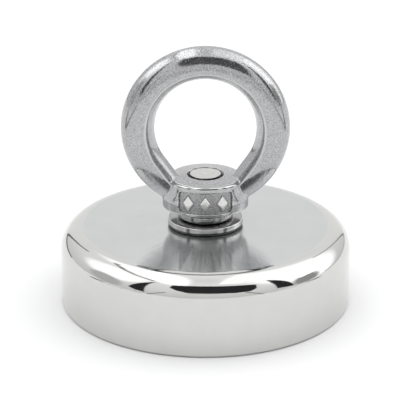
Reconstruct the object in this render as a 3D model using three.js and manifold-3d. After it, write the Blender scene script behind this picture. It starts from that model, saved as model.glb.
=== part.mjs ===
// Magnet-fishing magnet: a steel pot with a ring magnet glued inside it, and an eye nut
// screwed onto the countersunk screw that comes up through the middle.
//
// Millimetres, +Z up along the screw's axis. The origin is the centre of the working face,
// the open underside of the pot. The ring of the eye nut stands in the XZ plane.

import * as THREE from 'three';
import { mergeVertices } from 'three/addons/utils/BufferGeometryUtils.js';
import Module from 'manifold-3d';

// ---------------------------------------------------------------- driving dimensions

const JOINT_GAP = 0.02; // between two pieces that are glued or clamped face to face

// Pot: a nickel-plated steel cup, open below
const POT_RADIUS = 16;
const POT_HEIGHT = 8.7;
const POT_WALL = 2.6;
const POT_PLATE = 2.8; // thickness of its closed top
const POT_SHOULDER = 2.5; // radius of the rounded edge between side and top
const POT_RIM_BREAK = 0.25; // small chamfer round the open rim
const POT_HOLE_RADIUS = 2.25; // clearance hole for the screw
const POT_HOLE_CHAMFER = 0.2;

// Ring magnet, set a little deeper than the rim, so that steel meets the target first
const MAGNET_RADIUS = 12.6;
const MAGNET_THICKNESS = 5.5;
const MAGNET_RECESS = 0.2;
const MAGNET_HOLE_RADIUS = 2.3;
const MAGNET_EDGE_BREAK = 0.2;

// Cured adhesive: a film on the magnet's back, and a cast ring round its edge
const RESIN_SINK = 0.15; // how far the cast ring lies below the magnet's face
const RESIN_SAG = 0.08; // how far its surface sags between its two walls
const FILM_SCREW_GAP = 0.6; // the film stays clear of the screw by this much

// Countersunk socket screw, M4 x 14
const PITCH = 0.7;
const SCREW_LENGTH = 14;
const SCREW_CREST_RADIUS = 1.96;
const SCREW_ROOT_RADIUS = 1.55;
const SCREW_SHANK_RADIUS = 1.8; // plain, under the head
const SCREW_HEAD_RADIUS = 3.9;
const SCREW_HEAD_EDGE = 0.15; // height of the head's thin straight edge
const SCREW_PLAIN_LENGTH = 1.4; // unthreaded length under the head
const SCREW_RUN_OUT = 0.3; // where the thread fades into the shank
const SCREW_TIP_CHAMFER = 0.2;
const SOCKET_WIDTH = 2.5; // across the flats
const SOCKET_DEPTH = 1.5;
const CREST_HALF_WIDTH = PITCH / 16;
const ROOT_HALF_WIDTH = PITCH * 3 / 8;
const COUNTERSINK_GAP = 0.05; // between the head's cone and the magnet's
const THREAD_TRIM = 0.1; // how far beyond the crests the thread's rough strip is cut round

// Flat washer under the eye nut
const WASHER_RADIUS = 4.15;
const WASHER_HOLE_RADIUS = 2.15;
const WASHER_THICKNESS = 0.9;
const WASHER_EDGE_BREAK = 0.1;
const WASHER_DIE_ROLL = 0.32; // radius of its lower edge, rounded as stamping leaves it

// Eye nut: a cast neck, collar and ring in one piece, tapped through the collar
const NECK_RADIUS = 3.15;
const NECK_HEIGHT = 1.3;
const NECK_EDGE_BREAK = 0.25;
const COLLAR_RADIUS = 4.1;
const COLLAR_HEIGHT = 3.4;
const COLLAR_ROUNDING = 0.3;
const COLLAR_SPREAD = 0.63; // how much wider its bottom is on each side, to carry the arms
const SPREAD_START = 0.3; // below the collar's top edge
const SPREAD_END = 2.4;
const COLLAR_CROWN = 0.25; // how much its top rises from the edge to the threaded hole
const SCREW_PROUD = 0.05; // how far the screw's tip stands above the hole's edge
const RING_MEAN_RADIUS = 7.4;
const RING_HALF_DEPTH = 1.98; // half of the ring's thickness along Y
const RING_ROOT_THINNING = 0.28; // share of that depth lost where the ring meets the collar
const RING_HALF_WALL = 1.78; // half of its thickness in the plane of the ring
const RING_LIFT = 5.52; // centre of the ring above the top of the collar
const EYE_STRAIGHT_ANGLE = 35; // degrees below level where the eye's sides turn straight
const EYE_FACING_DEPTH = 0.1; // how far below the collar's top the eye is cut, inside the collar
const THREAD_SIDE_GAP = 0.055; // axial clearance on each flank of the thread
const THREAD_CREST_GAP = 0.1; // radial clearance at the screw's crest
const TAPPED_HOLE_RADIUS = 1.68;
const LEAD_IN_GAP = 0.15; // radial gap between the crests and the hole's countersunk ends

// Recessed panel on the front of the collar, with plain raised lozenges as casting marks
const PANEL_HALF_WIDTH = 2.9;
const PANEL_HEIGHT = 2.65;
const PANEL_BOTTOM = 0.35; // above the underside of the collar
const PANEL_CORNER = 0.35;
const PANEL_DEPTH = 0.2;
const LOZENGE_COUNT = 3;
const LOZENGE_SPACING = 1.85;
const LOZENGE_HALF_WIDTH = 0.6;
const LOZENGE_HALF_HEIGHT = 0.9;

// Facets
const POT_FACETS = 72;
const COLLAR_FACETS = 48;
const THREAD_FACETS = 24; // steps per turn, shared by the screw and the tapped hole
const RING_FACETS = 56;
const RING_SECTION_FACETS = 20;

// ---------------------------------------------------------------- heights that follow

const magnetTop = MAGNET_RECESS + MAGNET_THICKNESS;
const potFloor = POT_HEIGHT - POT_PLATE;
const potBoreRadius = POT_RADIUS - POT_WALL;
const washerBottom = POT_HEIGHT + JOINT_GAP;
const nutBottom = washerBottom + WASHER_THICKNESS + JOINT_GAP;
const collarBottom = nutBottom + NECK_HEIGHT;
const collarTop = collarBottom + COLLAR_HEIGHT;
const threadTop = collarTop + COLLAR_CROWN;
const screwTip = threadTop + SCREW_PROUD;
const screwHeadFace = screwTip - SCREW_LENGTH;
const ringCentre = collarTop + RING_LIFT;

// ---------------------------------------------------------------- solids

const wasm = await Module();
wasm.setup();

/** Turns a closed geometry into a solid, with its faces pointing out. */
function toSolid(geometry) {
  geometry.deleteAttribute('normal');
  geometry.deleteAttribute('uv');
  const merged = mergeVertices(geometry);
  const index = merged.index.array;
  const triangles = [];
  for (let i = 0; i < index.length; i += 3) {
    const [a, b, c] = [index[i], index[i + 1], index[i + 2]];
    if (a !== b && b !== c && c !== a) triangles.push(a, b, c);
  }
  const vertProperties = new Float32Array(merged.getAttribute('position').array);
  if (signedVolume(vertProperties, triangles) < 0) triangles.reverse();
  const triVerts = new Uint32Array(triangles);
  return new wasm.Manifold(new wasm.Mesh({ numProp: 3, vertProperties, triVerts }));
}

/** Volume inside a triangle mesh, negative where its faces point inwards. */
function signedVolume(positions, triangles) {
  const corner = (i) => new THREE.Vector3().fromArray(positions, 3 * triangles[i]);
  let volume = 0;
  for (let i = 0; i < triangles.length; i += 3) {
    volume += corner(i).dot(corner(i + 1).cross(corner(i + 2))) / 6;
  }
  return volume;
}

function toGeometry(solid) {
  const mesh = solid.getMesh();
  const geometry = new THREE.BufferGeometry();
  geometry.setAttribute('position', new THREE.BufferAttribute(mesh.vertProperties, 3));
  geometry.setIndex(new THREE.BufferAttribute(mesh.triVerts, 1));
  geometry.computeVertexNormals();
  return geometry;
}

/** Revolves a closed outline of [radius, height] points about Z. */
function revolve(outline, facets) {
  const points = [...outline, outline[0]].map(([r, z]) => new THREE.Vector2(r, z));
  const geometry = new THREE.LatheGeometry(points, facets);
  geometry.rotateX(Math.PI / 2);
  return toSolid(geometry);
}

/** Points of an arc in an outline, from one angle to another in degrees. */
function arc(centreRadius, centreHeight, radius, from, to, steps) {
  return Array.from({ length: steps + 1 }, (_, i) => {
    const angle = THREE.MathUtils.degToRad(from + (to - from) * i / steps);
    return [centreRadius + radius * Math.cos(angle), centreHeight + radius * Math.sin(angle)];
  });
}

/** Extrudes a shape drawn in the XZ plane along Y, from y0 to y1. */
function extrudeAlongY(shape, y0, y1) {
  const geometry = new THREE.ExtrudeGeometry(shape, {
    depth: y1 - y0,
    bevelEnabled: false,
    curveSegments: 4,
  });
  geometry.rotateX(Math.PI / 2);
  geometry.translate(0, y1, 0);
  return toSolid(geometry);
}

/**
 * A right-handed threaded rod about Z, from one height to another. Its profile lists the
 * [radius, rise] corners of one pitch. They are wound round the axis as a strip, with each
 * turn's upper edge as the next turn's lower edge, and a fan to the axis closes each end. The
 * ends are ragged and up to a turn too long, so they are cut off or lie outside the piece.
 */
function threadedRod(profile, bottom, top) {
  const facets = Math.ceil(THREAD_FACETS * (top - bottom) / PITCH) + THREAD_FACETS;
  const firstFacet = Math.floor(THREAD_FACETS * bottom / PITCH) - THREAD_FACETS;
  const corners = profile.length;
  const positions = [];
  for (let facet = 0; facet <= facets + THREAD_FACETS; facet++) {
    const turns = (firstFacet + facet) / THREAD_FACETS;
    const angle = 2 * Math.PI * turns;
    const shown = facet <= facets ? profile : profile.slice(0, 1);
    for (const [radius, rise] of shown) {
      positions.push(radius * Math.cos(angle), radius * Math.sin(angle), PITCH * turns + rise);
    }
  }
  const vertex = (facet, corner) => {
    if (corner === corners) return vertex(facet + THREAD_FACETS, 0);
    return facet <= facets ? facet * corners + corner : (facets + 1) * corners + facet - facets - 1;
  };
  const triangles = [];
  for (let facet = 0; facet < facets; facet++) {
    for (let corner = 0; corner < corners; corner++) {
      const [a, b] = [vertex(facet, corner), vertex(facet + 1, corner)];
      const [c, d] = [vertex(facet, corner + 1), vertex(facet + 1, corner + 1)];
      triangles.push(a, b, d, a, d, c);
    }
  }
  for (const [facet, forward] of [[0, false], [facets, true]]) {
    const axisPoint = positions.length / 3;
    positions.push(0, 0, PITCH * ((firstFacet + facet) / THREAD_FACETS + 0.5));
    const rim = [];
    for (let step = 0; step < THREAD_FACETS; step++) rim.push(vertex(facet + step, 0));
    for (let corner = corners; corner > 0; corner--) rim.push(vertex(facet, corner));
    rim.forEach((from, i) => {
      const to = rim[(i + 1) % rim.length];
      triangles.push(axisPoint, forward ? from : to, forward ? to : from);
    });
  }
  const geometry = new THREE.BufferGeometry();
  geometry.setAttribute('position', new THREE.Float32BufferAttribute(positions, 3));
  geometry.setIndex(triangles);
  return toSolid(geometry);
}

/** One pitch of the screw's thread, or of the tap that cuts a hole to fit it. */
function threadProfile(rootRadius, sideGap, crestGap) {
  const slope = (ROOT_HALF_WIDTH - CREST_HALF_WIDTH) / (SCREW_CREST_RADIUS - SCREW_ROOT_RADIUS);
  const crestRadius = SCREW_CREST_RADIUS + crestGap;
  const halfWidth = (radius) => CREST_HALF_WIDTH + sideGap + slope * (SCREW_CREST_RADIUS - radius);
  return [
    [rootRadius, -halfWidth(rootRadius)],
    [crestRadius, -halfWidth(crestRadius)],
    [crestRadius, halfWidth(crestRadius)],
    [rootRadius, halfWidth(rootRadius)],
  ];
}

// ---------------------------------------------------------------- pieces

function potShell() {
  const shoulderRadius = POT_RADIUS - POT_SHOULDER;
  const shoulderHeight = POT_HEIGHT - POT_SHOULDER;
  return revolve([
    [potBoreRadius, POT_RIM_BREAK],
    [potBoreRadius + POT_RIM_BREAK, 0],
    [POT_RADIUS - POT_RIM_BREAK, 0],
    [POT_RADIUS, POT_RIM_BREAK],
    ...arc(shoulderRadius, shoulderHeight, POT_SHOULDER, 0, 90, 8),
    [POT_HOLE_RADIUS + POT_HOLE_CHAMFER, POT_HEIGHT],
    [POT_HOLE_RADIUS, POT_HEIGHT - POT_HOLE_CHAMFER],
    [POT_HOLE_RADIUS, potFloor],
    [potBoreRadius, potFloor],
  ], POT_FACETS);
}

function ringMagnet() {
  // the countersink continues the cone of the screw's head down to the magnet's face
  const coneStart = screwHeadFace + SCREW_HEAD_EDGE;
  const coneRadiusAtFace = SCREW_HEAD_RADIUS + COUNTERSINK_GAP + coneStart - MAGNET_RECESS;
  const coneTop = MAGNET_RECESS + coneRadiusAtFace - MAGNET_HOLE_RADIUS;
  return revolve([
    [coneRadiusAtFace, MAGNET_RECESS],
    [MAGNET_RADIUS - MAGNET_EDGE_BREAK, MAGNET_RECESS],
    [MAGNET_RADIUS, MAGNET_RECESS + MAGNET_EDGE_BREAK],
    [MAGNET_RADIUS, magnetTop - MAGNET_EDGE_BREAK],
    [MAGNET_RADIUS - MAGNET_EDGE_BREAK, magnetTop],
    [MAGNET_HOLE_RADIUS, magnetTop],
    [MAGNET_HOLE_RADIUS, coneTop],
  ], POT_FACETS);
}

function bondingFilm() {
  const bottom = magnetTop + JOINT_GAP;
  const top = potFloor - JOINT_GAP;
  const outer = MAGNET_RADIUS - MAGNET_EDGE_BREAK;
  const inner = MAGNET_HOLE_RADIUS + FILM_SCREW_GAP;
  return revolve([[inner, bottom], [outer, bottom], [outer, top], [inner, top]], POT_FACETS);
}

function pottingResin() {
  const bottom = MAGNET_RECESS + RESIN_SINK;
  const top = potFloor - JOINT_GAP;
  const inner = MAGNET_RADIUS + JOINT_GAP;
  const outer = potBoreRadius - JOINT_GAP;
  const middle = (inner + outer) / 2;
  return revolve([
    [inner, bottom], [middle, bottom + RESIN_SAG], [outer, bottom], [outer, top], [inner, top],
  ], POT_FACETS);
}

function countersunkScrew() {
  const coneBottom = screwHeadFace + SCREW_HEAD_EDGE;
  const coneTop = coneBottom + SCREW_HEAD_RADIUS - SCREW_SHANK_RADIUS;
  const threadBottom = coneTop + SCREW_PLAIN_LENGTH;
  const beyondCrest = SCREW_CREST_RADIUS + THREAD_TRIM;
  const head = revolve([
    [0, screwHeadFace],
    [SCREW_HEAD_RADIUS, screwHeadFace],
    [SCREW_HEAD_RADIUS, coneBottom],
    [SCREW_SHANK_RADIUS, coneTop],
    [SCREW_SHANK_RADIUS, threadBottom],
    [SCREW_ROOT_RADIUS / 2, threadBottom + PITCH],
    [0, threadBottom + PITCH],
  ], COLLAR_FACETS);
  const envelope = revolve([
    [0, threadBottom - SCREW_RUN_OUT],
    [SCREW_ROOT_RADIUS, threadBottom - SCREW_RUN_OUT],
    [beyondCrest, threadBottom - SCREW_RUN_OUT + beyondCrest - SCREW_ROOT_RADIUS],
    [beyondCrest, screwTip - SCREW_TIP_CHAMFER - THREAD_TRIM],
    [SCREW_CREST_RADIUS - SCREW_TIP_CHAMFER, screwTip],
    [0, screwTip],
  ], THREAD_FACETS);
  const profile = threadProfile(SCREW_ROOT_RADIUS, 0, 0);
  const rod = threadedRod(profile, threadBottom - PITCH, screwTip + PITCH);
  return head.add(rod.intersect(envelope)).subtract(hexSocket());
}

function hexSocket() {
  const cornerRadius = SOCKET_WIDTH / 2 / Math.cos(Math.PI / 6);
  const height = 2 * SOCKET_DEPTH; // centred on the head's face, so half of it cuts
  const geometry = new THREE.CylinderGeometry(cornerRadius, cornerRadius, height, 6);
  geometry.rotateX(Math.PI / 2);
  geometry.translate(0, 0, screwHeadFace);
  return toSolid(geometry);
}

function flatWasher() {
  const top = washerBottom + WASHER_THICKNESS;
  const rollCentre = WASHER_RADIUS - WASHER_DIE_ROLL;
  return revolve([
    [WASHER_HOLE_RADIUS, washerBottom],
    ...arc(rollCentre, washerBottom + WASHER_DIE_ROLL, WASHER_DIE_ROLL, -90, 0, 3),
    [WASHER_RADIUS, top - WASHER_EDGE_BREAK],
    [WASHER_RADIUS - WASHER_EDGE_BREAK, top],
    [WASHER_HOLE_RADIUS, top],
  ], COLLAR_FACETS);
}

function neck() {
  return revolve([
    [0, nutBottom],
    [NECK_RADIUS - NECK_EDGE_BREAK, nutBottom],
    [NECK_RADIUS, nutBottom + NECK_EDGE_BREAK],
    [NECK_RADIUS, collarBottom + COLLAR_ROUNDING],
    [0, collarBottom + COLLAR_ROUNDING],
  ], COLLAR_FACETS);
}

/** Widens a part of the collar sideways, more and more towards the bottom. */
function spreadSideways(solid) {
  return solid.warp((vertex) => {
    const drop = collarTop - vertex[2];
    const share = THREE.MathUtils.smoothstep(drop, SPREAD_START, SPREAD_END);
    vertex[0] *= 1 + share * COLLAR_SPREAD / COLLAR_RADIUS;
  });
}

/** An upright stretch of an outline, in steps short enough to be spread sideways smoothly. */
function upright(radius, from, to) {
  const steps = 8;
  return Array.from({ length: steps + 1 }, (_, i) => [radius, from + (to - from) * i / steps]);
}

function collar() {
  const corner = COLLAR_RADIUS - COLLAR_ROUNDING;
  const lower = collarBottom + COLLAR_ROUNDING;
  const upper = collarTop - COLLAR_ROUNDING;
  return spreadSideways(revolve([
    [0, collarBottom],
    ...arc(corner, lower, COLLAR_ROUNDING, -90, 0, 3),
    ...upright(COLLAR_RADIUS, lower, upper).slice(1, -1),
    ...arc(corner, upper, COLLAR_ROUNDING, 0, 90, 3),
    [SCREW_CREST_RADIUS, threadTop],
    [0, threadTop],
  ], COLLAR_FACETS));
}

function eyeRing() {
  const geometry = new THREE.TorusGeometry(
    RING_MEAN_RADIUS, RING_HALF_WALL, RING_SECTION_FACETS, RING_FACETS,
  );
  geometry.scale(1, 1, RING_HALF_DEPTH / RING_HALF_WALL);
  geometry.rotateX(Math.PI / 2);
  geometry.translate(0, 0, ringCentre);
  return toSolid(geometry).warp((vertex) => {
    const share = THREE.MathUtils.smoothstep(ringCentre - vertex[2], RING_LIFT / 3, RING_LIFT);
    vertex[1] *= 1 - share * RING_ROOT_THINNING;
  });
}

/** The straight-sided bottom of the eye, which leaves the collar's top flat between the arms. */
function eyeMouth() {
  const angle = THREE.MathUtils.degToRad(EYE_STRAIGHT_ANGLE);
  const holeRadius = RING_MEAN_RADIUS - RING_HALF_WALL;
  const drop = RING_LIFT + EYE_FACING_DEPTH;
  const narrow = (holeRadius - drop * Math.sin(angle)) / Math.cos(angle);
  const wide = holeRadius * Math.cos(angle);
  const top = ringCentre - holeRadius * Math.sin(angle);
  const shape = new THREE.Shape([
    new THREE.Vector2(-narrow, ringCentre - drop),
    new THREE.Vector2(narrow, ringCentre - drop),
    new THREE.Vector2(wide, top),
    new THREE.Vector2(-wide, top),
  ]);
  return extrudeAlongY(shape, -COLLAR_RADIUS, COLLAR_RADIUS);
}

/** What a tap takes out of the eye nut: a threaded hole with a countersunk lead-in at each end. */
function tap() {
  const leadRadius = SCREW_CREST_RADIUS + LEAD_IN_GAP;
  const narrow = TAPPED_HOLE_RADIUS / 2;
  const below = nutBottom - PITCH;
  const above = threadTop + PITCH;
  const leadIn = (face, outside) => {
    const inwards = Math.sign(face - outside);
    const inside = face + inwards * (leadRadius - narrow);
    const wide = leadRadius + Math.abs(face - outside);
    return revolve([[0, outside], [wide, outside], [narrow, inside], [0, inside]], THREAD_FACETS);
  };
  const profile = threadProfile(TAPPED_HOLE_RADIUS, THREAD_SIDE_GAP, THREAD_CREST_GAP);
  return threadedRod(profile, below, above)
    .add(leadIn(nutBottom, below))
    .add(leadIn(threadTop, above));
}

function panelShape() {
  const [left, right] = [-PANEL_HALF_WIDTH, PANEL_HALF_WIDTH];
  const bottom = collarBottom + PANEL_BOTTOM;
  const top = bottom + PANEL_HEIGHT;
  const shape = new THREE.Shape();
  shape.moveTo(left + PANEL_CORNER, bottom);
  shape.lineTo(right - PANEL_CORNER, bottom);
  shape.absarc(right - PANEL_CORNER, bottom + PANEL_CORNER, PANEL_CORNER, -Math.PI / 2, 0);
  shape.absarc(right - PANEL_CORNER, top - PANEL_CORNER, PANEL_CORNER, 0, Math.PI / 2);
  shape.absarc(left + PANEL_CORNER, top - PANEL_CORNER, PANEL_CORNER, Math.PI / 2, Math.PI);
  shape.absarc(left + PANEL_CORNER, bottom + PANEL_CORNER, PANEL_CORNER, Math.PI, Math.PI * 1.5);
  return shape;
}

function lozengeShape(centre) {
  const middle = collarBottom + PANEL_BOTTOM + PANEL_HEIGHT / 2;
  return new THREE.Shape([
    new THREE.Vector2(centre - LOZENGE_HALF_WIDTH, middle),
    new THREE.Vector2(centre, middle - LOZENGE_HALF_HEIGHT),
    new THREE.Vector2(centre + LOZENGE_HALF_WIDTH, middle),
    new THREE.Vector2(centre, middle + LOZENGE_HALF_HEIGHT),
  ]);
}

/** A tube between two radii, over the height of the collar's side and spread as it is. */
function sleeve(inner, outer) {
  const bottom = collarBottom + COLLAR_ROUNDING / 2;
  const top = collarTop - COLLAR_ROUNDING / 2;
  const outline = [...upright(outer, bottom, top), ...upright(inner, top, bottom)];
  return spreadSideways(revolve(outline, COLLAR_FACETS));
}

function eyeNut() {
  const front = -COLLAR_RADIUS - 1;
  const panelRadius = COLLAR_RADIUS - PANEL_DEPTH;
  const recess = extrudeAlongY(panelShape(), front, 0).intersect(sleeve(panelRadius, -front));
  const ring = eyeRing().subtract(eyeMouth());
  let nut = collar().add(neck()).add(ring).subtract(tap()).subtract(recess);
  for (let i = 0; i < LOZENGE_COUNT; i++) {
    const centre = (i - (LOZENGE_COUNT - 1) / 2) * LOZENGE_SPACING;
    const prism = extrudeAlongY(lozengeShape(centre), front, 0);
    nut = nut.add(prism.intersect(sleeve(panelRadius - PANEL_DEPTH, COLLAR_RADIUS)));
  }
  return nut;
}

// ---------------------------------------------------------------- the object

function piece(name, solid, color, roughness, metalness) {
  const material = new THREE.MeshStandardMaterial({ color, roughness, metalness });
  const mesh = new THREE.Mesh(toGeometry(solid), material);
  mesh.name = name;
  return mesh;
}

function assembly(name, ...children) {
  const group = new THREE.Group();
  group.name = name;
  return group.add(...children);
}

const group = assembly(
  'magnet_fishing_magnet',
  assembly(
    'pot_magnet',
    piece('pot_shell', potShell(), 0xd9d8d4, 0.16, 1),
    piece('ring_magnet', ringMagnet(), 0xc4c3bf, 0.3, 1),
    piece('bonding_film', bondingFilm(), 0x6b5a35, 0.5, 0),
    piece('potting_resin', pottingResin(), 0x23221f, 0.45, 0),
    piece('countersunk_screw', countersunkScrew(), 0xbdbbb6, 0.3, 1),
  ),
  piece('flat_washer', flatWasher(), 0xc9c8c4, 0.22, 1),
  piece('eye_nut', eyeNut(), 0xb9b8b5, 0.32, 1),
);

export default group;
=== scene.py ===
"""A magnet-fishing magnet in a white photographer's tent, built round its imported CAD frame.

Everything is modelled in millimetres, as the real thing is drawn, and scaled to metres as its
mesh is made. +Z is up along the screw, and the panel on the eye nut's collar faces -Y.
"""

import math

import bpy
import numpy as np
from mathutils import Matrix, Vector


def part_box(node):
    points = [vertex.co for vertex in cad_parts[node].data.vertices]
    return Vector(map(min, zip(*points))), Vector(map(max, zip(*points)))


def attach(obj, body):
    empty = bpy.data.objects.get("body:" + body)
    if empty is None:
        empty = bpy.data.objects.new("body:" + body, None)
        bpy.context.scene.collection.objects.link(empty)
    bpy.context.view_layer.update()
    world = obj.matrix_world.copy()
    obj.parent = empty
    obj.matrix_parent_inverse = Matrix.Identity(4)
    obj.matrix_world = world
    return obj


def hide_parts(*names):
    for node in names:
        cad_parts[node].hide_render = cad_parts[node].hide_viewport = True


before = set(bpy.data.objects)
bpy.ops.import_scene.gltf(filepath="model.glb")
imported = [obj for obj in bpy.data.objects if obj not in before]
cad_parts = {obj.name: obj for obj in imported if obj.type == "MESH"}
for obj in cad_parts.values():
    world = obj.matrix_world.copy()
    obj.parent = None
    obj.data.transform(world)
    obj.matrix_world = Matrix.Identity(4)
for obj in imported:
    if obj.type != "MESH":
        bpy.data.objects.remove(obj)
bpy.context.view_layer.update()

MM = 0.001


def box_mm(node):
    """The corners of a CAD node's box, in millimetres."""
    low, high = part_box(node)
    return low / MM, high / MM


# ------------------------------------------------------------------ sizes, in millimetres

POT_LOW, POT_HIGH = box_mm("pot_shell")
MAGNET_LOW, MAGNET_HIGH = box_mm("ring_magnet")
RESIN_LOW, RESIN_HIGH = box_mm("potting_resin")
SCREW_LOW, SCREW_HIGH = box_mm("countersunk_screw")
WASHER_LOW, WASHER_HIGH = box_mm("flat_washer")
EYE_LOW, EYE_HIGH = box_mm("eye_nut")

POT_RADIUS = POT_HIGH.x
POT_HEIGHT = POT_HIGH.z
POT_SHOULDER = 2.5
POT_RIM = 0.25
POT_BORE_RADIUS = 13.4
POT_BORE_CORNER = 0.4
POT_FLOOR = 5.9
POT_HOLE_RADIUS = 2.25
POT_HOLE_EDGE = 0.2

MAGNET_RADIUS = MAGNET_HIGH.x
MAGNET_HOLE_RADIUS = 2.3
MAGNET_CONE_RADIUS = 4.54  # the countersink, where it meets the magnet's face
MAGNET_EDGE = 0.18

RESIN_GAP = 0.02
RESIN_DIP = 0.1

PITCH = 0.7
SCREW_CREST_RADIUS = 1.96
SCREW_ROOT_RADIUS = 1.55
SCREW_SHANK_RADIUS = 1.8
SCREW_HEAD_RADIUS = SCREW_HIGH.x
SCREW_HEAD_EDGE = 0.15
SCREW_END_RADIUS = 1.7
SCREW_CHAMFER_HEIGHT = 0.25
SCREW_CHAMFER_SLOPE = 0.6
SCREW_PLAIN_LENGTH = 1.4
SOCKET_WIDTH = 2.5
SOCKET_DEPTH = 1.5
CONE_START = SCREW_LOW.z + SCREW_HEAD_EDGE
SHANK_START = CONE_START + SCREW_HEAD_RADIUS - SCREW_SHANK_RADIUS
THREAD_START = SHANK_START + SCREW_PLAIN_LENGTH

WASHER_RADIUS = WASHER_HIGH.x
WASHER_HOLE_RADIUS = 2.15
WASHER_DIE_ROLL = 0.33
WASHER_EDGE = 0.08

NECK_RADIUS = 3.15
NECK_HEIGHT = 1.3
NECK_ROUNDING = 0.5
UNDERCUT_RADIUS = 0.13
UNDERCUT_DROP = 0.33  # from the underside of the collar to the undercut's middle
UNDERCUT_FILLET = 0.05

COLLAR_RADIUS = EYE_HIGH.y
COLLAR_HEIGHT = 3.4
COLLAR_BOTTOM = EYE_LOW.z + NECK_HEIGHT
COLLAR_TOP = COLLAR_BOTTOM + COLLAR_HEIGHT
COLLAR_TOP_ROUNDING = 0.32
COLLAR_LOW_ROUNDING = 0.2
COLLAR_SPREAD = 0.63
SPREAD_START = 0.2  # below the collar's top, as is the spread's end
SPREAD_END = 2.4
COLLAR_CROWN = 0.25
CROWN_FADE = 1.5  # how far below its top the collar is free of the crown's rise

THREAD_TOP = COLLAR_TOP + COLLAR_CROWN
HOLE_ROOT_RADIUS = 2.06
HOLE_CREST_RADIUS = 1.7
HOLE_SIDE_GAP = 0.06
LEAD_IN_RADIUS = 2.04
LEAD_IN_SLOPE = 0.5

RING_OUTER_RADIUS = EYE_HIGH.x
RING_HOLE_RADIUS = 5.62
RING_HALF_WALL = 2.6
RING_HALF_DEPTH = 1.98
RING_CENTRE = EYE_HIGH.z - RING_OUTER_RADIUS
HOLE_SIDE_LEAN = math.radians(35)  # of its straight lower sides, from upright
WALL_BULGE = 0.21  # how fast the hole widens with the square of the distance from its middle
MOULD_RIDGE = 0.08
MOULD_RIDGE_WIDTH = 0.3

PANEL_HALF_WIDTH = 2.9
PANEL_HEIGHT = 2.4
PANEL_BOTTOM = COLLAR_BOTTOM + 0.35
PANEL_MIDDLE = PANEL_BOTTOM + PANEL_HEIGHT / 2
PANEL_CORNER = 0.5
PANEL_DEPTH = 0.2
LOZENGE_SPACING = 1.85
LOZENGE_HALF_WIDTH = 0.6
LOZENGE_HALF_HEIGHT = 0.9

NECK_FILLET = 0.1
ARM_FILLET = 0.2
CREASE_FILLET = 0.12
PANEL_FILLET = 0.08

EYE_MESH_PITCH = 0.08


# ------------------------------------------------------------------ mesh tools

def add_mesh(name, vertices, faces, sharp_degrees=32):
    """A smooth-shaded object from millimetre vertices, with its sharp edges kept sharp."""
    mesh = bpy.data.meshes.new(name)
    mesh.from_pydata((np.asarray(vertices, float) * MM).tolist(), [], faces)
    mesh.validate()
    mesh.shade_smooth()
    mesh.set_sharp_from_angle(angle=math.radians(sharp_degrees))
    piece = bpy.data.objects.new(name, mesh)
    bpy.context.scene.collection.objects.link(piece)
    return piece


def arc(centre_r, centre_z, radius, start, end, steps):
    """Points of a round stretch of an outline, between two angles in degrees."""
    angles = np.radians(np.linspace(start, end, steps + 1))
    return [(centre_r + radius * math.cos(a), centre_z + radius * math.sin(a)) for a in angles]


def rounded_outline(corners, radius, steps=4):
    """A closed outline whose corners are all rounded by the same small radius."""
    points = []
    count = len(corners)
    for i, corner in enumerate(corners):
        here = Vector(corner)
        before = (Vector(corners[i - 1]) - here).normalized()
        after = (Vector(corners[(i + 1) % count]) - here).normalized()
        half = before.angle(after) / 2
        reach = radius / math.tan(half)
        centre = here + (before + after).normalized() * radius / math.sin(half)
        start = here + before * reach - centre
        end = here + after * reach - centre
        for step in range(steps + 1):
            point = centre + start.slerp(end, step / steps) * radius
            points.append((point.x, point.y))
    return points


def revolve(name, outline, segments=256):
    """Turns a closed outline of (radius, height) points about Z."""
    outline = np.asarray(outline, float)
    angles = np.arange(segments) * 2 * math.pi / segments
    count = len(outline)
    vertices = np.stack([
        np.outer(np.cos(angles), outline[:, 0]),
        np.outer(np.sin(angles), outline[:, 0]),
        np.outer(np.ones(segments), outline[:, 1]),
    ], axis=-1).reshape(-1, 3)
    faces = []
    for i in range(segments):
        for j in range(count):
            a, b = i * count, (i + 1) % segments * count
            faces.append((a + j, b + j, b + (j + 1) % count, a + (j + 1) % count))
    return add_mesh(name, vertices, faces)


def stack_rings(name, rings):
    """A closed skin over a stack of rings of points, with a fan to the middle of each end."""
    rings = [np.asarray(ring, float) for ring in rings]
    size = len(rings[0])
    vertices = np.concatenate([*rings, [rings[0].mean(0)], [rings[-1].mean(0)]])
    faces = []
    for i in range(len(rings) - 1):
        for j in range(size):
            a, b = i * size, (i + 1) * size
            k = (j + 1) % size
            faces.append((a + j, a + k, b + k, b + j))
    first, last = len(vertices) - 2, len(vertices) - 1
    top = (len(rings) - 1) * size
    for j in range(size):
        k = (j + 1) % size
        faces.append((first, k, j))
        faces.append((last, top + j, top + k))
    return add_mesh(name, vertices, faces)


def ring_points(angles, radius, height):
    """A ring of points about Z, whose radius and height may each change round it."""
    radius = np.broadcast_to(radius, angles.shape)
    height = np.broadcast_to(height, angles.shape)
    return np.stack([radius * np.cos(angles), radius * np.sin(angles), height], axis=-1)


# ------------------------------------------------------------------ solids from distances

def smooth_min(a, b, blend):
    """The smaller of two distances, with a fillet of about that size where they meet."""
    mix = np.clip(0.5 + 0.5 * (b - a) / blend, 0, 1)
    return b + (a - b) * mix - blend * mix * (1 - mix)


def smooth_max(a, b, blend):
    """The larger of two distances, with a fillet of about that size where they meet."""
    return -smooth_min(-a, -b, blend)


def rounded_disc(radius, height, low, high, disc_radius, rounding):
    """Distance to an upright disc with rounded edges, from a radius and a height."""
    across = radius - (disc_radius - rounding)
    along = np.abs(height - (low + high) / 2) - ((high - low) / 2 - rounding)
    outside = np.hypot(np.maximum(across, 0), np.maximum(along, 0))
    return outside + np.minimum(np.maximum(across, along), 0) - rounding


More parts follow.
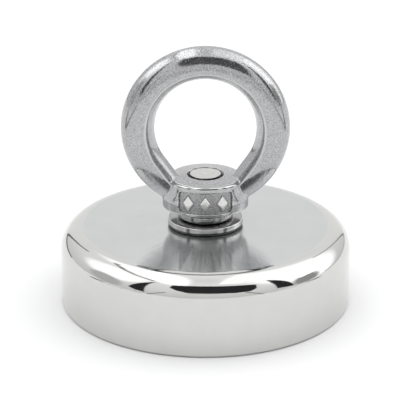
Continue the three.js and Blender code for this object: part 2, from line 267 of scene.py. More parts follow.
def crossed_edges(field, axis):
    """The grid's edges along an axis that the surface crosses.

    Gives each edge's first corner, the point where it is crossed, both in grid steps, and
    whether it starts inside the solid.
    """
    start = [slice(None)] * 3
    end = [slice(None)] * 3
    start[axis], end[axis] = slice(None, -1), slice(1, None)
    first, last = field[tuple(start)], field[tuple(end)]
    crossed = (first < 0) != (last < 0)
    edges = np.argwhere(crossed)
    first, last = first[crossed], last[crossed]
    points = edges.astype(np.float32)
    points[:, axis] += first / (first - last)
    return edges, points, first < 0


def cells_around(edges, axis):
    """The four cells that share each edge, in turn about the axis."""
    around = []
    for du, dv in ((-1, -1), (0, -1), (0, 0), (-1, 0)):
        cell = edges.copy()
        cell[:, (axis + 1) % 3] += du
        cell[:, (axis + 2) % 3] += dv
        around.append(cell)
    return around


def grid_surface(distance, low, high, pitch):
    """The surface where distance(x, y, z) is zero, as vertices and outward quads.

    One vertex goes into each cell that the surface crosses, at the mean of its edge crossings,
    and is then moved onto the surface along the distance's slope.
    """
    axes = [np.arange(a - pitch, b + 2 * pitch, pitch, dtype=np.float32) for a, b in zip(low, high)]
    field = distance(*np.meshgrid(*axes, indexing="ij", sparse=True))
    cells = tuple(n - 1 for n in field.shape)
    total = np.zeros((*cells, 3), np.float32)
    crossings = np.zeros(cells, np.int32)
    quads = []
    for axis in range(3):
        edges, points, leaving = crossed_edges(field, axis)
        around = cells_around(edges, axis)
        for cell in around:
            np.add.at(total, tuple(cell.T), points)
            np.add.at(crossings, tuple(cell.T), 1)
        corners = np.stack(around, axis=1)
        quads.append(np.where(leaving[:, None, None], corners, corners[:, ::-1]))
    used = crossings > 0
    index = np.full(cells, -1, np.int64)
    index[used] = np.arange(used.sum())
    vertices = total[used] / crossings[used][:, None] * pitch + [axis[0] for axis in axes]
    faces = index[tuple(np.moveaxis(np.concatenate(quads), -1, 0))]
    for _ in range(3):
        vertices -= slope_step(distance, vertices)
    return vertices, faces


def slope_of(distance, points, nudge=0.01):
    """The distance's slope at each point, which points straight out of the surface."""
    return np.stack([
        distance(*(points + step).T) - distance(*(points - step).T)
        for step in np.eye(3) * nudge
    ], axis=-1) / (2 * nudge)


def curvature_of(distance, points, nudge=0.05):
    """How sharply the surface bends outwards at each point: its two curvatures' sum, per mm."""
    around = -6 * distance(*points.T)
    for step in np.eye(3) * nudge:
        around += distance(*(points + step).T) + distance(*(points - step).T)
    return around / nudge ** 2


def slope_step(distance, points, longest=0.05):
    """How far each point is from the surface, as a vector down the distance's slope."""
    value = distance(*points.T)
    slope = slope_of(distance, points)
    steep = np.maximum((slope ** 2).sum(-1), 0.25)
    return np.clip(value / steep, -longest, longest)[:, None] * slope


def thread_radius(angle, height, least, most, side_gap):
    """Radius of a right-handed thread at an angle and a height, kept between two radii."""
    crest_half, root_half = PITCH / 16, PITCH * 3 / 8
    slope = (root_half - crest_half) / (SCREW_CREST_RADIUS - SCREW_ROOT_RADIUS)
    turns = height / PITCH - angle / (2 * math.pi)
    from_crest = np.abs(turns - np.round(turns)) * PITCH
    flank = SCREW_CREST_RADIUS - (from_crest - crest_half - side_gap) / slope
    return np.clip(flank, least, most)


# ------------------------------------------------------------------ the pieces

def build_pot():
    """The pot's shell: a cup open below, with a broad round shoulder.

    Its flat top has a dozen rings of points, which keep its shading even.
    """
    shoulder_r = POT_RADIUS - POT_SHOULDER
    shoulder_z = POT_HEIGHT - POT_SHOULDER
    rim, edge, corner = POT_RIM, POT_HOLE_EDGE, POT_BORE_CORNER
    return revolve("pot_body", [
        *arc(POT_BORE_RADIUS + rim, rim, rim, 180, 270, 5),
        *arc(POT_RADIUS - rim, rim, rim, -90, 0, 5),
        *arc(shoulder_r, shoulder_z, POT_SHOULDER, 0, 90, 40),
        *[(r, POT_HEIGHT) for r in np.linspace(shoulder_r - 0.4, POT_HOLE_RADIUS + 0.8, 12)],
        *arc(POT_HOLE_RADIUS + edge, POT_HEIGHT - edge, edge, 90, 180, 4),
        (POT_HOLE_RADIUS, POT_FLOOR),
        *arc(POT_BORE_RADIUS - corner, POT_FLOOR - corner, corner, 90, 0, 4),
    ])


def build_magnet():
    """The ring magnet, countersunk from below for the screw's head."""
    face, back = MAGNET_LOW.z, MAGNET_HIGH.z
    cone_height = MAGNET_CONE_RADIUS - MAGNET_HOLE_RADIUS
    return revolve("magnet_body", rounded_outline([
        (MAGNET_CONE_RADIUS, face),
        (MAGNET_RADIUS, face),
        (MAGNET_RADIUS, back),
        (MAGNET_HOLE_RADIUS, back),
        (MAGNET_HOLE_RADIUS, face + cone_height),
    ], MAGNET_EDGE))


def build_resin():
    """The cast ring of resin. Its face dips between the two walls, where it wetted them."""
    inner, outer = MAGNET_RADIUS + RESIN_GAP, RESIN_HIGH.x
    face = [
        (inner + (outer - inner) * t, RESIN_LOW.z + RESIN_DIP * math.sin(math.pi * t))
        for t in np.linspace(0, 1, 9)
    ]
    return revolve("resin_ring", [*face, (outer, RESIN_HIGH.z), (inner, RESIN_HIGH.z)])


def build_washer():
    """The washer, with the rounded lower edge that stamping leaves and a crisp upper one."""
    low, high = WASHER_LOW.z, WASHER_HIGH.z
    roll, edge = WASHER_DIE_ROLL, WASHER_EDGE
    return revolve("washer_ring", [
        (WASHER_HOLE_RADIUS, low),
        *arc(WASHER_RADIUS - roll, low + roll, roll, -90, 0, 10),
        *arc(WASHER_RADIUS - edge, high - edge, edge, 0, 90, 4),
        *arc(WASHER_HOLE_RADIUS + edge, high - edge, edge, 90, 180, 4),
    ], segments=192)


def screw_head(angles):
    """Radius and height of each ring, from the bottom of the hexagon socket to the shank."""
    face = SCREW_LOW.z
    floor = face + SOCKET_DEPTH
    sector = (angles + math.pi / 6) % (math.pi / 3) - math.pi / 6
    hexagon = SOCKET_WIDTH / 2 / np.cos(sector)
    return [
        (SOCKET_WIDTH * 0.35, floor + 0.35),
        (hexagon, floor),
        (hexagon, face + 0.1),
        (hexagon + 0.04, face + 0.03),
        (hexagon + 0.1, face),
        (SCREW_HEAD_RADIUS - 0.5, face),
        (SCREW_HEAD_RADIUS - 0.06, face),
        (SCREW_HEAD_RADIUS, face + 0.05),
        (SCREW_HEAD_RADIUS, CONE_START),
        (SCREW_SHANK_RADIUS + 0.1, SHANK_START - 0.1),
        (SCREW_SHANK_RADIUS, SHANK_START + 0.06),
    ]


def screw_thread(angles):
    """The thread's rings. It grows out of the shank over a turn, and is chamfered at the tip."""
    tip = SCREW_HIGH.z
    rings = []
    for height in np.arange(THREAD_START, tip - SCREW_CHAMFER_HEIGHT, PITCH / 16):
        grown = np.clip((height - THREAD_START) / PITCH, 0, 1)
        wanted = thread_radius(angles, height, SCREW_ROOT_RADIUS, SCREW_CREST_RADIUS, 0)
        radius = SCREW_SHANK_RADIUS + (wanted - SCREW_SHANK_RADIUS) * grown
        chamfer = SCREW_END_RADIUS + (tip - height) * SCREW_CHAMFER_SLOPE
        rings.append((np.minimum(radius, chamfer), height))
    return rings


def screw_tip():
    """The rings of the turned end, which is flat with a broken edge."""
    tip = SCREW_HIGH.z
    return [
        (SCREW_END_RADIUS, tip - 0.06),
        (SCREW_END_RADIUS - 0.02, tip - 0.02),
        (SCREW_END_RADIUS - 0.06, tip),
        (1.2, tip),
        (0.6, tip),
    ]


def build_screw():
    """The countersunk screw, from the bottom of its hexagon socket to its turned tip."""
    segments = 96
    angles = np.arange(segments) * 2 * math.pi / segments
    rings = screw_head(angles) + screw_thread(angles) + screw_tip()
    return stack_rings("screw_body", [ring_points(angles, *ring) for ring in rings])


def eye_distance(x, y, z):
    """Distance to the eye nut's surface, less than zero inside it."""
    neck = neck_distance(np.hypot(x, y), z)
    body = smooth_min(collar_distance(x, y, z), neck, NECK_FILLET)
    body = smooth_min(body, ring_distance(x, y, z), ARM_FILLET)
    body = smooth_max(body, -panel_distance(x, y, z), PANEL_FILLET)
    body = smooth_min(body, lozenge_distance(x, y, z), PANEL_FILLET)
    return np.maximum(body, -hole_distance(x, y, z))


def smooth_step(value, start, end):
    """Rises from 0 at the start to 1 at the end, level at both."""
    t = np.clip((value - start) / (end - start), 0, 1)
    return t * t * (3 - 2 * t)


def neck_distance(radius, z):
    """The neck, which runs a millimetre up into the collar and has an undercut just below it."""
    neck = rounded_disc(radius, z, EYE_LOW.z, COLLAR_BOTTOM + 1, NECK_RADIUS, NECK_ROUNDING)
    rise = z - COLLAR_BOTTOM + UNDERCUT_DROP
    undercut = np.hypot(radius - NECK_RADIUS, rise) - UNDERCUT_RADIUS
    return smooth_max(neck, -undercut, UNDERCUT_FILLET)


def collar_radius(x, y, z):
    """Distance from the axis, squashed sideways where the collar spreads to carry the arms."""
    share = smooth_step(COLLAR_TOP - z, SPREAD_START, SPREAD_END)
    spread = COLLAR_SPREAD / COLLAR_RADIUS * share
    return np.hypot(x / (1 + spread), y)


def collar_distance(x, y, z):
    """The collar: round at its top, which rises to the hole, and spread sideways below.

    Its edge is rounded less at the bottom than at the top. The change comes between 0.5 and
    1 mm below the top, where neither edge reaches.
    """
    radius = collar_radius(x, y, z)
    less = COLLAR_TOP_ROUNDING - COLLAR_LOW_ROUNDING
    rounding = COLLAR_TOP_ROUNDING - less * smooth_step(COLLAR_TOP - z, 0.5, 1)
    slope = COLLAR_CROWN / (COLLAR_RADIUS - SCREW_CREST_RADIUS)
    rise = slope * np.clip(COLLAR_RADIUS - radius, 0, COLLAR_RADIUS - SCREW_CREST_RADIUS)
    height = z - rise * smooth_step(z, COLLAR_TOP - CROWN_FADE, COLLAR_TOP)
    return rounded_disc(radius, height, COLLAR_BOTTOM, COLLAR_TOP, COLLAR_RADIUS, rounding)


def ring_distance(x, y, z):
    """The eye's ring: an oval bar, cut along a crease by the wall of the hole, which bulges.

    Some way below the ring's middle the hole's sides turn straight, and run down to the collar.
    A low ridge runs round the middle of the wall, where the two halves of the mould met.
    """
    drop = RING_CENTRE - z
    from_centre = np.hypot(x, drop)
    across = (from_centre - (RING_OUTER_RADIUS - RING_HALF_WALL)) / RING_HALF_WALL
    oval = (np.hypot(across, y / RING_HALF_DEPTH) - 1) * (RING_HALF_WALL + RING_HALF_DEPTH) / 2
    lean = HOLE_SIDE_LEAN
    straight = np.abs(x) * math.cos(lean) + drop * math.sin(lean)
    reach = np.where(drop > np.abs(x) * math.tan(lean), straight, from_centre)
    ridge = MOULD_RIDGE * np.exp(-(y / MOULD_RIDGE_WIDTH) ** 2)
    hole = RING_HOLE_RADIUS + WALL_BULGE * y ** 2 - ridge
    wall = (hole - reach) / np.hypot(1, 2 * WALL_BULGE * y)
    return smooth_max(oval, wall, CREASE_FILLET)


def panel_distance(x, y, z):
    """The recess in the front of the collar, whose floor follows the collar's round."""
    across = np.abs(x) - (PANEL_HALF_WIDTH - PANEL_CORNER)
    along = np.abs(z - PANEL_MIDDLE) - (PANEL_HEIGHT / 2 - PANEL_CORNER)
    outside = np.hypot(np.maximum(across, 0), np.maximum(along, 0))
    edge = outside + np.minimum(np.maximum(across, along), 0) - PANEL_CORNER
    floor = COLLAR_RADIUS - PANEL_DEPTH
    return np.maximum(np.maximum(edge, y), floor - collar_radius(x, y, z))


def lozenge_distance(x, y, z):
    """Three plain lozenges, which stand on the panel's floor up to the collar's surface."""
    nearest = np.clip(np.round(x / LOZENGE_SPACING), -1, 1) * LOZENGE_SPACING
    across = np.abs(x - nearest) / LOZENGE_HALF_WIDTH
    along = np.abs(z - PANEL_MIDDLE) / LOZENGE_HALF_HEIGHT
    edge = (across + along - 1) * 0.45  # which makes it about a true distance
    radius = collar_radius(x, y, z)
    buried = COLLAR_RADIUS - PANEL_DEPTH * 2 - radius
    sides = np.maximum(np.maximum(edge, y), buried)
    return smooth_max(sides, radius - COLLAR_RADIUS, PANEL_FILLET)


def hole_distance(x, y, z):
    """The threaded hole through the nut, with a countersunk lead-in at each end."""
    angle = np.arctan2(y, x)
    wanted = thread_radius(angle, z, HOLE_CREST_RADIUS, HOLE_ROOT_RADIUS, HOLE_SIDE_GAP)
    past_end = np.maximum(EYE_LOW.z - z, z - THREAD_TOP)
    lead_in = LEAD_IN_RADIUS + np.minimum(past_end, 0) * LEAD_IN_SLOPE
    wall = (np.hypot(x, y) - np.maximum(wanted, lead_in)) * 0.8  # less steep on the flanks
    return np.maximum(wall, past_end - 1)


def build_eye():
    """The cast eye nut, meshed from its distance, with that distance's slope for its normals."""
    vertices, faces = grid_surface(eye_distance, EYE_LOW, EYE_HIGH, EYE_MESH_PITCH)
    eye = add_mesh("eye_nut_casting", vertices, faces.tolist(), sharp_degrees=180)
    outward = slope_of(eye_distance, vertices, nudge=0.02)
    outward /= np.linalg.norm(outward, axis=1, keepdims=True)
    eye.data.normals_split_custom_set_from_vertices(outward.tolist())
    mark_eye(eye, vertices)
    return eye


def mark_eye(eye, vertices):
    """Marks the panel's floor, the lozenges' faces and the sharp edges, for the material."""
    margin = 0.08
    least_bend, bend_range = 1.3, 1.5
    radius = collar_radius(*vertices.T)
    depth = -panel_distance(*vertices.T)
    floor = COLLAR_RADIUS - PANEL_DEPTH + margin - radius
    add_attribute(eye, "recess", np.clip(0.5 + np.minimum(depth, floor) / margin, 0, 1))
    top = radius - COLLAR_RADIUS + margin
    mark = np.minimum(margin / 2 - lozenge_distance(*vertices.T), top)
    add_attribute(eye, "mark", np.clip(mark / (margin / 2), 0, 1))
    bend = curvature_of(eye_distance, vertices)
    add_attribute(eye, "edge", np.clip((bend - least_bend) / bend_range, 0, 1))


def add_attribute(piece, name, values):
    """Stores one number for each vertex, for a material to read."""
    attribute = piece.data.attributes.new(name, "FLOAT", "POINT")
    attribute.data.foreach_set("value", values.astype(np.float32))


# ------------------------------------------------------------------ materials

class Nodes:
    """A material's node tree, with its Principled shader and its surface position in mm."""

    def __init__(self, name):
        self.material = bpy.data.materials.new(name)
        self.material.use_nodes = True
        self.tree = self.material.node_tree
        self.shader = self.tree.nodes["Principled BSDF"]
        place = self.add("ShaderNodeTexCoord").outputs["Object"]
        self.place = self.vector("MULTIPLY", place, (1 / MM, 1 / MM, 1 / MM))

    def add(self, kind, **inputs):
        """A new node, with its inputs set or linked by name."""
        node = self.tree.nodes.new(kind)
        for key, value in inputs.items():
            self.put(node.inputs[key], value)
        return node

    def put(self, socket, value):
        """Links another node's output into a socket, or sets the socket to a plain value."""
        if isinstance(value, bpy.types.NodeSocket):
            self.tree.links.new(value, socket)
        else:
            socket.default_value = value

    def math(self, operation, *values):
        """A sum or a test of numbers, each of which is plain or another node's output."""
        node = self.tree.nodes.new("ShaderNodeMath")
        node.operation = operation
        for socket, value in zip(node.inputs, values):
            self.put(socket, value)
        return node.outputs[0]

    def vector(self, operation, *values):
        """The same for vectors."""
        node = self.tree.nodes.new("ShaderNodeVectorMath")
        node.operation = operation
        for socket, value in zip(node.inputs, values):
            self.put(socket, value)
        return node.outputs[1 if operation == "LENGTH" else 0]

    def noise(self, scale, detail, place=None, roughness=0.5):
        """Cloudy noise from 0 to 1, with about so many blobs to the millimetre, or unit of place."""
        node = self.add("ShaderNodeTexNoise", Scale=scale, Detail=detail, Roughness=roughness)
        self.put(node.inputs["Vector"], place or self.place)
        return node.outputs["Fac"]

    def height(self):
        """Height above the working face, in mm."""
        split = self.add("ShaderNodeSeparateXYZ", Vector=self.place)
        return split.outputs["Z"]

    def from_axis(self):
        """The vector from the Z axis straight out to the surface."""
        return self.vector("MULTIPLY", self.place, (1, 1, 0))

    def radius(self):
        """Distance from the Z axis, in mm."""
        return self.vector("LENGTH", self.from_axis())

    def rings(self, per_mm):
        """Fine noise that changes only with the distance from the Z axis."""
        node = self.tree.nodes.new("ShaderNodeTexNoise")
        node.noise_dimensions = "1D"
        self.put(node.inputs["W"], self.radius())
        self.put(node.inputs["Scale"], per_mm)
        self.put(node.inputs["Detail"], 3.0)
        return node.outputs["Fac"]

    def streaks(self, scale):
        """Fine noise that changes only with the bearing from the Z axis."""
        return self.noise(scale, 4, self.vector("NORMALIZE", self.from_axis()), 0.6)

    def attribute(self, name):
        """One of the numbers that are stored on the mesh's vertices."""
        node = self.tree.nodes.new("ShaderNodeAttribute")
        node.attribute_name = name
        return node.outputs["Fac"]

    def between(self, factor, low, high):
        """A factor's 0 to 1, stretched to run from low to high."""
        node = self.add("ShaderNodeMapRange")
        self.put(node.inputs["Value"], factor)
        self.put(node.inputs["To Min"], low)
        self.put(node.inputs["To Max"], high)
        return node.outputs["Result"]

    def mix_colour(self, factor, a, b):
        """Colour a where the factor is 0, through to colour b where it is 1."""
        node = self.tree.nodes.new("ShaderNodeMix")
        node.data_type = "RGBA"
        sockets = [socket for socket in node.inputs if socket.enabled]
        for socket, value in zip(sockets, (factor, a, b)):
            self.put(socket, (*value, 1) if isinstance(value, tuple) else value)
        return next(socket for socket in node.outputs if socket.enabled)

    def bump(self, height, depth_mm, normal=None):
        """A normal that makes a height from 0 to 1 look so deep, on top of another normal."""
        node = self.add("ShaderNodeBump", Strength=1.0, Distance=depth_mm * MM)
        self.put(node.inputs["Height"], height)
        if normal is not None:
            self.put(node.inputs["Normal"], normal)
        return node.outputs["Normal"]

    def finish(self, **inputs):
        """Fills in the shader's inputs, and gives the finished material."""
        for key, value in inputs.items():
            self.put(self.shader.inputs[key.replace("_", " ")], value)
        return self.material


def polished_nickel():
    """The pot's shoulder and side: bright plate with faint haze and a trace of polish lines.

    A hairline of painted shade runs round its lowest edge, for the shadow where the pot meets the
    floor.
    """
    nodes = Nodes("polished_nickel")
    haze = nodes.noise(0.5, 4)
    colour = nodes.mix_colour(haze, (0.60, 0.60, 0.59), (0.65, 0.645, 0.635))
    stretched = nodes.vector("MULTIPLY", nodes.place, (2, 2, 30))
    lines = nodes.noise(1.0, 3, stretched)
    # painted shade: near black along the bottom edge, fading out over a quarter millimetre
    painted_shade, shade_width = (0.1, 0.1, 0.1), 0.25
    inwards = nodes.math("SUBTRACT", POT_RADIUS, nodes.radius())
    from_edge = nodes.math("ADD", nodes.height(), inwards)
    fading = nodes.math("MULTIPLY", from_edge, 1 / shade_width)
    unshaded = nodes.math("SMOOTH_MIN", fading, 1.0, 0.2)
    return nodes.finish(
        Base_Color=nodes.mix_colour(unshaded, painted_shade, colour),
        Metallic=1.0,
        Roughness=nodes.between(haze, 0.03, 0.075),
        Normal=nodes.bump(lines, 0.0004),
    )


def turned_nickel():
    """The pot's flat top: faced on a lathe before plating, so it blurs outwards from the axis.

    Its roughness changes with the bearing too, which streaks the washer's blurred reflection.
    """
    nodes = Nodes("turned_nickel")
    rings = nodes.rings(6)
    haze = nodes.noise(0.35, 3)
    tone = nodes.math("MULTIPLY", nodes.math("ADD", rings, haze), 0.5)
    colour = nodes.mix_colour(tone, (0.53, 0.54, 0.545), (0.63, 0.635, 0.635))
    streaks = nodes.between(nodes.streaks(24), 0.3, 1.7)
    roughness = nodes.math("MULTIPLY", streaks, nodes.between(tone, 0.13, 0.19))
    around = nodes.tree.nodes.new("ShaderNodeTangent")
    around.direction_type = "RADIAL"
    around.axis = "Z"
    return nodes.finish(
        Base_Color=colour,
        Metallic=0.94,
        Roughness=roughness,
        Anisotropic=0.97,
        Anisotropic_Rotation=0.25,
        Tangent=around.outputs["Tangent"],
        Normal=nodes.bump(rings, 0.0006),
    )


def cast_stainless():
    """The eye nut: cast, then tumbled, which polished its edges most and its panel least.

    It reads three numbers from the mesh: "recess" is 1 on the panel's floor, "mark" is 1 on the
    lozenges' faces, and "edge" is 1 on the sharp edges.
    """
    nodes = Nodes("cast_stainless")
    recess = nodes.attribute("recess")
    edge = nodes.attribute("edge")
    dull = nodes.between(edge, 1.0, 0.25)
    cloud = nodes.noise(0.8, 4)
    grain = nodes.noise(7, 3, roughness=0.7)
    speckle = nodes.between(grain, -0.8, 1.8)
    open_face = nodes.mix_colour(speckle, (0.26, 0.265, 0.275), (0.58, 0.58, 0.585))
    floor = nodes.mix_colour(speckle, (0.13, 0.13, 0.13), (0.40, 0.40, 0.40))
    face = nodes.mix_colour(recess, open_face, floor)
    face = nodes.mix_colour(edge, face, (0.53, 0.53, 0.53))
    fine, broad = nodes.between(grain, -0.3, 0.5), nodes.between(cloud, 0.4, 1.6)
    roughness = nodes.math("MULTIPLY", fine, broad)
    roughness = nodes.math("ADD", roughness, nodes.math("MULTIPLY", recess, 0.3))
    ripple = nodes.bump(nodes.noise(1.3, 2), 0.004)
    depth = nodes.math("MULTIPLY", nodes.between(recess, 0.12, 1.0), dull)
    return nodes.finish(
        Base_Color=nodes.mix_colour(nodes.attribute("mark"), face, (0.66, 0.66, 0.65)),
        Metallic=nodes.between(edge, 0.9, 1.0),
        Roughness=nodes.math("MULTIPLY", roughness, dull),
        Normal=nodes.bump(nodes.math("MULTIPLY", grain, depth), 0.03, ripple),
    )


def washer_steel():
    """Dull stamped faces darkened as painted shade from the collar above, a brighter rim where the
    blank was sheared, and painted shadow under it.
    """
    nodes = Nodes("washer_steel")
    rim_width, rim_bottom = 0.09, 0.38
    outer = nodes.math("GREATER_THAN", nodes.radius(), WASHER_RADIUS - rim_width)
    upper = nodes.math("GREATER_THAN", nodes.height(), WASHER_LOW.z + rim_bottom)
    rim = nodes.math("MULTIPLY", outer, upper)
    # painted shadow: near black below the rim, over the lower rounding and the underside
    painted_shade = (0.09, 0.09, 0.09)
    cloud = nodes.noise(1.5, 4)
    scratches = nodes.noise(1.0, 3, nodes.vector("MULTIPLY", nodes.place, (14, 3, 6)))
    # painted shade: the top face is darker than the rim, for the shade under the eye nut's collar
    face = nodes.mix_colour(cloud, (0.24, 0.24, 0.24), (0.44, 0.44, 0.43))
    face = nodes.mix_colour(upper, painted_shade, face)
    return nodes.finish(
        Base_Color=nodes.mix_colour(rim, face, (0.6, 0.6, 0.595)),
        Metallic=1.0,
        Roughness=nodes.between(scratches, 0.08, 0.2),
        Normal=nodes.bump(scratches, 0.0015),
    )


def screw_steel():
    """Bright steel, faced at both ends, with its thread painted near black as painted shade."""
    nodes = Nodes("screw_steel")
    rings = nodes.rings(9)
    cloud = nodes.noise(2.0, 3)
    steel = nodes.mix_colour(cloud, (0.50, 0.50, 0.495), (0.68, 0.675, 0.665))
    # painted shade: the thread is near black, for the dark gap round the tip where it stands in the
    # nut
    thread_shade, unshaded_end = (0.06, 0.06, 0.058), 0.03
    height = nodes.height()
    threaded = nodes.math("GREATER_THAN", height, SCREW_LOW.z + SCREW_HEAD_RADIUS)
    below_end = nodes.math("LESS_THAN", height, SCREW_HIGH.z - unshaded_end)
    shaded_thread = nodes.math("MULTIPLY", threaded, below_end)
    return nodes.finish(
        Base_Color=nodes.mix_colour(shaded_thread, steel, thread_shade),
        Metallic=1.0,
        Roughness=nodes.between(cloud, 0.16, 0.26),
        Normal=nodes.bump(rings, 0.0015),
    )


def magnet_nickel():
    """Dull plate over the sintered magnet, with a fine mottle."""
    nodes = Nodes("magnet_nickel")
    mottle = nodes.noise(5, 5, roughness=0.6)
    cloud = nodes.noise(0.3, 3)
    return nodes.finish(
        Base_Color=nodes.mix_colour(cloud, (0.58, 0.575, 0.56), (0.68, 0.67, 0.645)),
        Metallic=1.0,
        Roughness=nodes.between(mottle, 0.24, 0.38),
        Normal=nodes.bump(mottle, 0.004),
    )


def cast_resin():
    """Black epoxy, cast between the magnet and the pot, with a few fine pores."""
    nodes = Nodes("cast_resin")
    cloud = nodes.noise(1.2, 4)
    pores = nodes.noise(4, 3)
    return nodes.finish(
        Base_Color=nodes.mix_colour(cloud, (0.012, 0.012, 0.012), (0.03, 0.029, 0.027)),
        Roughness=nodes.between(cloud, 0.25, 0.45),
        Normal=nodes.bump(pores, 0.02),
    )


def adhesive():
    """Cured amber adhesive."""
    nodes = Nodes("adhesive")
    cloud = nodes.noise(0.8, 4)
    return nodes.finish(
        Base_Color=nodes.mix_colour(cloud, (0.25, 0.17, 0.07), (0.36, 0.27, 0.13)),
        Roughness=nodes.between(cloud, 0.35, 0.55),
        Normal=nodes.bump(cloud, 0.02),
    )


def paint(piece, *materials):
    """Puts the materials in a piece's slots, in order."""
    piece.data.materials.clear()
    for material in materials:
        piece.data.materials.append(material)


def paint_top(pot):
    """Gives the pot's flat top its second material, the turned one."""
    flat = POT_RADIUS - POT_SHOULDER
    for face in pot.data.polygons:
        centre = face.center / MM
        level = face.normal.z > 0.999 and centre.z > POT_HEIGHT - 0.01
        if level and math.hypot(centre.x, centre.y) < flat:
            face.material_index = 1


# ------------------------------------------------------------------ studio

TENT_RADIUS = 1200
CARD_RADIUS = TENT_RADIUS * 0.9
SEAM_RADIUS = TENT_RADIUS * 0.95

DARK = (0.03, 0.03, 0.032)
BRIGHT = (2.3, 2.3, 2.3)


def emission(name, colour):
    """A material that only glows. A colour above 1 makes it brighter than white."""
    material = bpy.data.materials.new(name)
    material.use_nodes = True
    tree = material.node_tree
    tree.nodes.clear()
    light = tree.nodes.new("ShaderNodeEmission")
    light.inputs["Color"].default_value = (*colour, 1)
    output = tree.nodes.new("ShaderNodeOutputMaterial")
    tree.links.new(light.outputs[0], output.inputs["Surface"])
    return material


def direction(right, back):
    """A unit vector, so many degrees to the right and to the back of straight up."""
    zenith = math.radians(math.hypot(right, back))
    azimuth = math.atan2(right, back)
    level = Vector((math.sin(azimuth), math.cos(azimuth), 0)) * math.sin(zenith)
    return level + Vector((0, 0, math.cos(zenith)))


def hang(piece):
    """Hangs part of the studio round the object, where the metal sees it and the camera doesn't."""
    piece.visible_camera = False


def glowing(name, vertices, faces, colour):
    """A flat piece of the studio that shows only in reflections, and doesn't light the paper."""
    piece = add_mesh(name, vertices, faces)
    paint(piece, emission(name, colour))
    piece.visible_shadow = False
    piece.visible_diffuse = False
    hang(piece)


def card(name, colour, corners):
    """A flat card inside the tent. Its corners are in degrees to the right and to the back."""
    vertices = [direction(*corner) * CARD_RADIUS for corner in corners]
    glowing(name, vertices, [tuple(range(len(vertices)))], colour)


def seam(name, level, route, thickness=3.0):
    """A dark seam in the tent's cloth: a strip of even thickness, in degrees, along a route."""
    vertices = []
    for i, (right, back) in enumerate(route):
        before, after = route[max(i - 1, 0)], route[min(i + 1, len(route) - 1)]
        along = Vector((after[0] - before[0], after[1] - before[1])).normalized()
        half = Vector((-along.y, along.x)) * thickness / 2
        for side in (-1, 1):
            corner = Vector((right, back)) + half * side
            vertices.append(direction(*corner) * SEAM_RADIUS)
    faces = [(2 * i, 2 * i + 1, 2 * i + 3, 2 * i + 2) for i in range(len(route) - 1)]
    glowing(name, vertices, faces, (level,) * 3)


def table_wedge(name, level, apex, bearings):
    """Two dark lines on the table, which widen as they spread from an apex to the tent's wall.

    The apex is in millimetres to the right and to the back of the pot's axis. The bearings are
    in degrees from the back, positive to the right.
    """
    near_half, far_half = 4, 42
    apex = Vector((*apex, POT_LOW.z))
    for i, bearing in enumerate(bearings):
        angle = math.radians(bearing)
        along = Vector((math.sin(angle), math.cos(angle), 0))
        across = Vector((along.y, -along.x, 0))
        far = apex + along * TENT_RADIUS
        near, wide = across * near_half, across * far_half
        vertices = [apex - near, apex + near, far + wide, far - wide]
        glowing(f"{name}_{i}", vertices, [(0, 1, 2, 3)], (level,) * 3)


# Soft oval patches on the cloth: middle and half sizes, right then back, in degrees, and
# brightness
TENT_PATCHES = (
    (0, 75, 40, 26, 1.0),  # the wall behind
    (-16, 8, 10, 40, 1.75),  # the roof, just left of the middle
    (-46, 4, 22, 28, 1.6),  # the lamp on the left
    (50, 8, 40, 36, 1.7),  # the lamp on the right
    (78, -8, 14, 18, 0.4),  # the dim foot of the right wall
    (-74, -8, 14, 22, 0.62),  # the dim foot of the left wall
)


def tent_glow(right, back):
    """Brightness of the tent's cloth, by degrees to the right and to the back of straight up."""
    glow = np.interp(np.hypot(right, back), (0, 25, 60, 90), (1.0, 1.15, 1.0, 0.78))
    outside, fade = 1.15, 0.3
    for patch_right, patch_back, half_right, half_back, level in TENT_PATCHES:
        reach = np.hypot((right - patch_right) / half_right, (back - patch_back) / half_back)
        glow += (level - glow) * np.clip((outside - reach) / fade, 0, 1)
    return glow


def build_tent():
    """A dome of lit cloth, in cells of three degrees, whose glow is stored at its vertices."""
    step = 3
    zenith, azimuth = np.meshgrid(np.arange(step / 2, 91, step), np.arange(0, 360, step))
    right = zenith * np.sin(np.radians(azimuth))
    back = zenith * np.cos(np.radians(azimuth))
    places = zip(right.ravel(), back.ravel())
    vertices = [direction(*place) * TENT_RADIUS for place in places]
    turns, rows = zenith.shape
    faces = []
    for i in range(turns):
        a, b = i * rows, (i + 1) % turns * rows
        faces += [(a + j, a + j + 1, b + j + 1, b + j) for j in range(rows - 1)]
    crown = tuple(i * rows for i in range(turns))
    tent = add_mesh("tent", vertices, [*faces, crown])
    add_attribute(tent, "glow", tent_glow(right, back).ravel())
    material = emission("tent", (1, 1, 1))
    tree = material.node_tree
    read = tree.nodes.new("ShaderNodeAttribute")
    read.attribute_name = "glow"
    tree.links.new(read.outputs["Fac"], tree.nodes["Emission"].inputs["Strength"])
    paint(tent, material)
    hang(tent)


def build_floor():
    """A wide sheet of white paper, a hair below the pot."""
    half, level = TENT_RADIUS * 2, POT_LOW.z - 0.02
    corners = [(-half, -half), (half, -half), (half, half), (-half, half)]
    floor = add_mesh("floor", [(*corner, level) for corner in corners], [(0, 1, 2, 3)])
    nodes = Nodes("white_paper")
    grain = nodes.noise(0.4, 2)
    paint(floor, nodes.finish(
        Base_Color=nodes.mix_colour(grain, (0.86, 0.865, 0.87), (0.87, 0.87, 0.87)),
        Roughness=0.9,
    ))


def build_world():
    """The pale light outside the tent, which the camera sees as the background."""
    world = bpy.data.worlds.new("studio")
    bpy.context.scene.world = world
    world.use_nodes = True
    background = world.node_tree.nodes["Background"]
    background.inputs["Color"].default_value = (1, 1, 1, 1)
    background.inputs["Strength"].default_value = 1.1


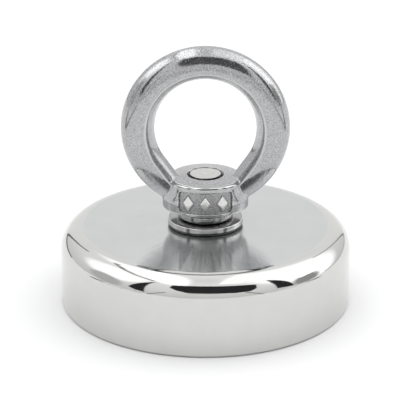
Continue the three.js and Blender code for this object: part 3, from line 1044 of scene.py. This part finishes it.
def hang_cards():
    """The dark slot that the camera looks through, its tripod, the gaps beside it, and the lamps."""
    card("camera_slot", DARK, [
        (-20, -28), (32, -28), (40, -44), (39, -56), (28, -62), (-16, -62), (-23, -52), (-25, -40),
    ])
    card("tripod", (0.62, 0.6, 0.58), [(-14, -50), (9, -50), (14, -66), (-16, -66)])
    card("left_gap", DARK, [(-26, -17), (-66, -36), (-66, -47), (-60, -57), (-34, -25)])
    card("right_gap", DARK, [(32, -13), (80, -29), (65, -44), (44, -26)])
    card("left_light", BRIGHT, [(-58, -10), (-36, -14), (-34, 20), (-56, 18)])
    card("right_light", BRIGHT, [(34, -6), (66, -10), (66, 22), (34, 28)])
    card("roof_left_light", BRIGHT, [(-24, -20), (-9, -20), (-9, 34), (-22, 34)])
    card("roof_right_light", (1.6, 1.6, 1.6), [(7, -20), (20, -20), (18, 30), (7, 30)])


def hang_seams():
    """The thin dark lines: the tent's seams, and the edges of the table's covering."""
    for side in (-1, 1):
        front = [(36, -60), (50, -63), (62, -64)]
        seam(f"front_seam_{side}", 0.12, [(side * right, back) for right, back in front], 2)
        table_wedge(f"table_line_{side}", 0.08, (side * 74, -2), (side * 99, side * 134))
    seam("roof_seam", 0.45, [(-27, -14), (-30, 4), (-28, 20), (-20, 38)])
    seam("back_left_seam", 0.2, [(-44, 86), (-39, 64), (-30, 46)])
    seam("back_right_seam", 0.4, [(43, 86), (38, 60), (30, 38)], 2.5)
    seam("floor_seam_left", 0.15, [(-44, 77), (-60, 66), (-73, 52)], 4)
    seam("floor_seam_right", 0.6, [(43, 78), (62, 65), (80, 42), (87, 20)], 4)


def build_studio():
    """A white tent, lit from both sides, with a dark slot in front for the camera."""
    build_world()
    build_floor()
    build_tent()
    hang_cards()
    hang_seams()


def build_camera():
    """The camera that was fitted to the photo's outlines of the pot and the ring."""
    elevation = math.radians(21.4)
    distance = 200
    aim = Vector((0.28, 0, 10.53))
    data = bpy.data.cameras.new("camera")
    data.lens = 157
    data.sensor_width = 36
    data.clip_start = 0.01
    camera = bpy.data.objects.new("camera", data)
    away = Vector((0, -math.cos(elevation), math.sin(elevation)))
    camera.location = (aim + away * distance) * MM
    camera.rotation_euler = (math.pi / 2 - elevation, 0, 0)
    bpy.context.scene.collection.objects.link(camera)
    bpy.context.scene.camera = camera


# ------------------------------------------------------------------ assembly

def fit(piece, body, node):
    """Puts a piece on a moving body, in place of a CAD node, which it hides."""
    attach(piece, body)
    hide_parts(node)


def main():
    """Builds every piece, the studio and the camera, in that order."""
    bpy.context.scene.view_settings.view_transform = "Standard"
    pot = build_pot()
    paint(pot, polished_nickel(), turned_nickel())
    paint_top(pot)
    fit(pot, "magnet", "pot_shell")
    for build, material, body, node, slot in (
        (build_magnet, magnet_nickel, "magnet", "ring_magnet", "magnet_nickel"),
        (build_resin, cast_resin, "magnet", "potting_resin", "resin"),
        (build_screw, screw_steel, "magnet", "countersunk_screw", "screw_steel"),
        (build_washer, washer_steel, "washer", "flat_washer", "washer_steel"),
        (build_eye, cast_stainless, "eye", "eye_nut", "cast_stainless"),
    ):
        piece = build()
        paint(piece, material())
        fit(piece, body, node)
    paint(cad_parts["bonding_film"], adhesive())
    build_studio()
    build_camera()


main()
